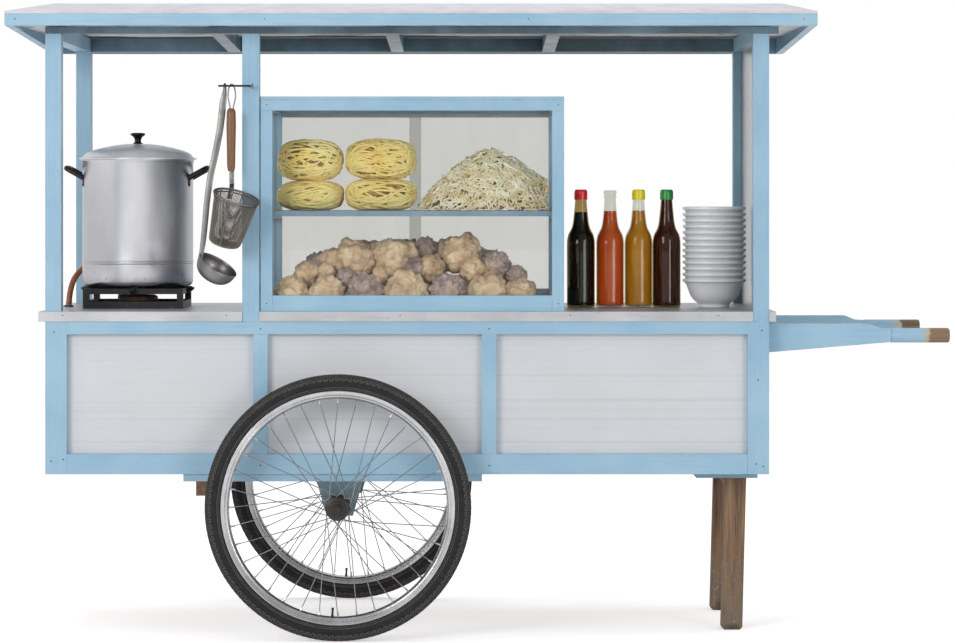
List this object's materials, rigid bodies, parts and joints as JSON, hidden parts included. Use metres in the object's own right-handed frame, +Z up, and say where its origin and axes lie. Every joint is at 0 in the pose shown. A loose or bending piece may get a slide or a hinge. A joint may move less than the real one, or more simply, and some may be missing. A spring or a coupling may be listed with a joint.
{
  "type": "noodle vendor cart",
  "caption": "Two-wheeled timber hand cart with a roofed counter, glazed food case, stove with pot, bottles and bowls, pulled by two handles.",
  "frame": {"origin": "on the ground under the middle of the whole cart, handles included", "axes": "+X towards the handles' grips, +Y towards the vendor's side with the cabinet doors, +Z up"},
  "size_m": [2.352, 0.9986, 1.628],
  "materials": {
    "blue_paint": "worn light blue gloss paint on timber",
    "grey_panel": "pale grey painted plywood with faint cracks",
    "counter_sheet": "pale grey worn metal sheet over the counter board",
    "polished_sheet": "polished thin metal sheet",
    "roof_sheet": "pale painted roof sheet",
    "ceiling_board": "aged board with lighter patches",
    "bare_wood": "bare brown timber, worn",
    "handle_wood": "oiled brown wood",
    "clear_glass": "clear window glass",
    "bright_metal": "bright steel",
    "bright_rim": "chromed steel with light wear",
    "dark_steel": "dark greasy steel",
    "tyre_rubber": "black tyre rubber",
    "cast_stove": "black cast iron",
    "rusty_burner": "rusty cast iron",
    "hose_rubber": "orange-brown gas hose",
    "pot_metal": "spun aluminium, scuffed",
    "dark_grip": "dark heatproof grips",
    "noodle": "fresh yellow wheat noodles",
    "sprout": "fresh bean sprouts",
    "meatball": "cooked meatballs",
    "bottle_glass": "glass bottles filled with sauces",
    "cap_plastic": "plastic screw caps in several colours",
    "bowl_glaze": "white glazed bowls"
  },
  "bodies": {
    "cart": {"body_stiles": "blue_paint", "body_rails": "blue_paint", "body_panels": "grey_panel", "floor_board": "bare_wood", "counter_edging": "counter_sheet", "posts": "blue_paint", "counter_top": "counter_sheet", "end_screen": "polished_sheet", "roof_long_rails": "blue_paint", "roof_side_rails": "blue_paint", "rafters": "blue_paint", "ceiling": "ceiling_board", "roof_fascias": "blue_paint", "roof_side_boards": "blue_paint", "roof_deck": "roof_sheet", "case_stiles": "blue_paint", "case_rails": "blue_paint", "case_side_rails": "blue_paint", "case_roof": "blue_paint", "case_glass": "clear_glass", "case_shelf": "blue_paint", "case_door_tracks": "bright_metal", "door_hinges": "bright_metal", "axle_hangers": "blue_paint", "axle": "dark_steel", "legs": "bare_wood", "bearers": "blue_paint", "cross_bars": "bare_wood", "handles": "blue_paint", "stove_frame": "cast_stove", "burner": "rusty_burner", "hose_grommet": "hose_rubber", "gas_hose": "hose_rubber", "pot": "pot_metal", "pot_handles": "dark_grip", "tool_rod": "dark_steel", "ladle": "bright_metal", "strainer_handle": "handle_wood", "strainer": "bright_metal", "bottles": "bottle_glass", "bottle_caps": "cap_plastic", "noodles": "noodle", "sprouts": "sprout", "meatballs": "meatball", "bowls": "bowl_glaze", "top_bowl": "bowl_glaze"},
    "front_wheel": {"front_wheel_tyre": "tyre_rubber", "front_wheel_rim": "bright_rim", "front_wheel_spokes": "bright_metal", "front_wheel_hub": "dark_steel"},
    "rear_wheel": {"rear_wheel_tyre": "tyre_rubber", "rear_wheel_rim": "bright_rim", "rear_wheel_spokes": "bright_metal", "rear_wheel_hub": "dark_steel"},
    "lid": {"pot_lid": "pot_metal"},
    "case_left_door": {"case_door_left": "clear_glass"},
    "case_right_door": {"case_door_right": "clear_glass"},
    "left_cabinet_door": {"cabinet_door_left": "grey_panel"},
    "middle_cabinet_door": {"cabinet_door_middle": "grey_panel"},
    "right_cabinet_door": {"cabinet_door_right": "grey_panel"}
  },
  "joints": [
    {"name": "front_wheel_spin", "type": "hinge", "parent": "cart", "child": "front_wheel", "pos_m": [-0.356, -0.443, 0.33], "axis": [0, 1, 0], "continuous": true},
    {"name": "rear_wheel_spin", "type": "hinge", "parent": "cart", "child": "rear_wheel", "pos_m": [-0.356, 0.443, 0.33], "axis": [0, 1, 0], "continuous": true},
    {"name": "pot_lid_lift", "type": "slide", "parent": "cart", "child": "lid", "axis": [0, 0, 1], "range_m": [0, 0.2]},
    {"name": "case_left_door_slide", "type": "slide", "parent": "cart", "child": "case_left_door", "axis": [1, 0, 0], "range_m": [0, 0.33]},
    {"name": "case_right_door_slide", "type": "slide", "parent": "cart", "child": "case_right_door", "axis": [-1, 0, 0], "range_m": [0, 0.33]},
    {"name": "left_cabinet_door_hinge", "type": "hinge", "parent": "cart", "child": "left_cabinet_door", "pos_m": [-1.0355, 0.3493, 0.595], "axis": [0, 0, 1], "range_deg": [0, 100]},
    {"name": "middle_cabinet_door_hinge", "type": "hinge", "parent": "cart", "child": "middle_cabinet_door", "pos_m": [0.039, 0.3493, 0.595], "axis": [0, 0, 1], "range_deg": [0, 100]},
    {"name": "right_cabinet_door_hinge", "type": "hinge", "parent": "cart", "child": "right_cabinet_door", "pos_m": [0.6615, 0.3493, 0.595], "axis": [0, 0, -1], "range_deg": [0, 100]}
  ]
}
